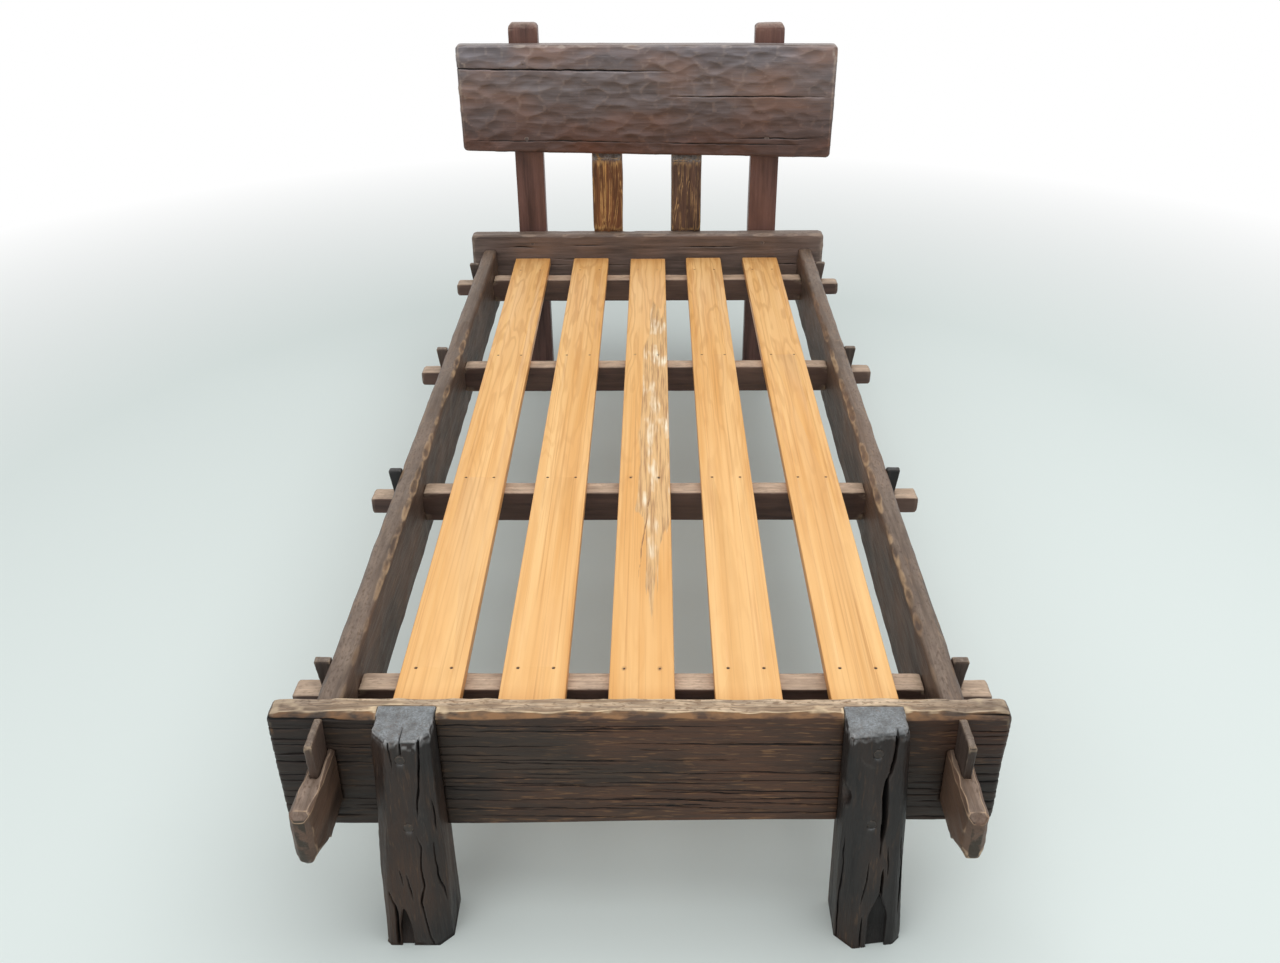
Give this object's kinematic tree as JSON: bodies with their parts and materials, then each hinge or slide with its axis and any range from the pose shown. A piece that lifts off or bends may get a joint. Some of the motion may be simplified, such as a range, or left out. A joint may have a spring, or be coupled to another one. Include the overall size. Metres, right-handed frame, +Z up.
{
  "type": "single bed",
  "caption": "Low slatted bed in dark hand-hewn oak with an adzed headboard; rails and cross beams pass through one another and lock with lift-out tusk wedges.",
  "frame": {"origin": "on the floor, under the middle of the clear length and width", "axes": "+X to the right seen from the foot, +Y from foot to head, +Z up"},
  "size_m": [1.078, 2.346, 0.997],
  "materials": {
    "hewn_oak": "adzed, dark stain, waxed",
    "leg_oak": "hewn, near black stain",
    "rail_oak": "hewn, brown stain, worn arrises",
    "planed_oak": "planed, red brown stain",
    "baluster_oak": "split and brushed, streaked",
    "slat_pine": "planed, clear satin",
    "wedge_oak": "hewn, dark stain",
    "plug_oak": "end grain, dark stain",
    "dark_iron": "darkened"
  },
  "bodies": {
    "bed_frame": {"foot_board": "hewn_oak", "head_plank": "hewn_oak", "head_panel": "hewn_oak", "slat_nails": "dark_iron", "leg_screws": "dark_iron", "head_screws": "dark_iron", "baluster_screws": "dark_iron", "leg_plugs": "plug_oak", "head_plugs": "plug_oak", "foot_leg_left": "leg_oak", "side_rail_left": "rail_oak", "head_post_left": "planed_oak", "baluster_left": "baluster_oak", "foot_leg_right": "leg_oak", "side_rail_right": "rail_oak", "head_post_right": "planed_oak", "baluster_right": "baluster_oak", "cross_beam_1": "planed_oak", "cross_beam_2": "planed_oak", "cross_beam_3": "planed_oak", "cross_beam_4": "planed_oak", "slat_1": "slat_pine", "slat_2": "slat_pine", "slat_3": "slat_pine", "slat_4": "slat_pine", "slat_5": "slat_pine"},
    "rail_wedge_foot_left": {"rail_wedge_foot_left": "wedge_oak"},
    "rail_wedge_foot_right": {"rail_wedge_foot_right": "wedge_oak"},
    "rail_wedge_head_left": {"rail_wedge_head_left": "wedge_oak"},
    "rail_wedge_head_right": {"rail_wedge_head_right": "wedge_oak"},
    "beam_wedge_left_1": {"beam_wedge_left_1": "wedge_oak"},
    "beam_wedge_left_2": {"beam_wedge_left_2": "wedge_oak"},
    "beam_wedge_left_3": {"beam_wedge_left_3": "wedge_oak"},
    "beam_wedge_left_4": {"beam_wedge_left_4": "wedge_oak"},
    "beam_wedge_right_1": {"beam_wedge_right_1": "wedge_oak"},
    "beam_wedge_right_2": {"beam_wedge_right_2": "wedge_oak"},
    "beam_wedge_right_3": {"beam_wedge_right_3": "wedge_oak"},
    "beam_wedge_right_4": {"beam_wedge_right_4": "wedge_oak"}
  },
  "joints": [
    {"name": "rail_wedge_foot_left_lift", "type": "slide", "parent": "bed_frame", "child": "rail_wedge_foot_left", "axis": [0, 0, 1], "range_m": [0, 0.135]},
    {"name": "rail_wedge_foot_right_lift", "type": "slide", "parent": "bed_frame", "child": "rail_wedge_foot_right", "axis": [0, 0, 1], "range_m": [0, 0.135]},
    {"name": "rail_wedge_head_left_lift", "type": "slide", "parent": "bed_frame", "child": "rail_wedge_head_left", "axis": [0, 0, 1], "range_m": [0, 0.11]},
    {"name": "rail_wedge_head_right_lift", "type": "slide", "parent": "bed_frame", "child": "rail_wedge_head_right", "axis": [0, 0, 1], "range_m": [0, 0.11]},
    {"name": "beam_wedge_left_1_lift", "type": "slide", "parent": "bed_frame", "child": "beam_wedge_left_1", "axis": [0, 0, 1], "range_m": [0, 0.06]},
    {"name": "beam_wedge_left_2_lift", "type": "slide", "parent": "bed_frame", "child": "beam_wedge_left_2", "axis": [0, 0, 1], "range_m": [0, 0.06]},
    {"name": "beam_wedge_left_3_lift", "type": "slide", "parent": "bed_frame", "child": "beam_wedge_left_3", "axis": [0, 0, 1], "range_m": [0, 0.06]},
    {"name": "beam_wedge_left_4_lift", "type": "slide", "parent": "bed_frame", "child": "beam_wedge_left_4", "axis": [0, 0, 1], "range_m": [0, 0.06]},
    {"name": "beam_wedge_right_1_lift", "type": "slide", "parent": "bed_frame", "child": "beam_wedge_right_1", "axis": [0, 0, 1], "range_m": [0, 0.06]},
    {"name": "beam_wedge_right_2_lift", "type": "slide", "parent": "bed_frame", "child": "beam_wedge_right_2", "axis": [0, 0, 1], "range_m": [0, 0.06]},
    {"name": "beam_wedge_right_3_lift", "type": "slide", "parent": "bed_frame", "child": "beam_wedge_right_3", "axis": [0, 0, 1], "range_m": [0, 0.06]},
    {"name": "beam_wedge_right_4_lift", "type": "slide", "parent": "bed_frame", "child": "beam_wedge_right_4", "axis": [0, 0, 1], "range_m": [0, 0.06]}
  ]
}
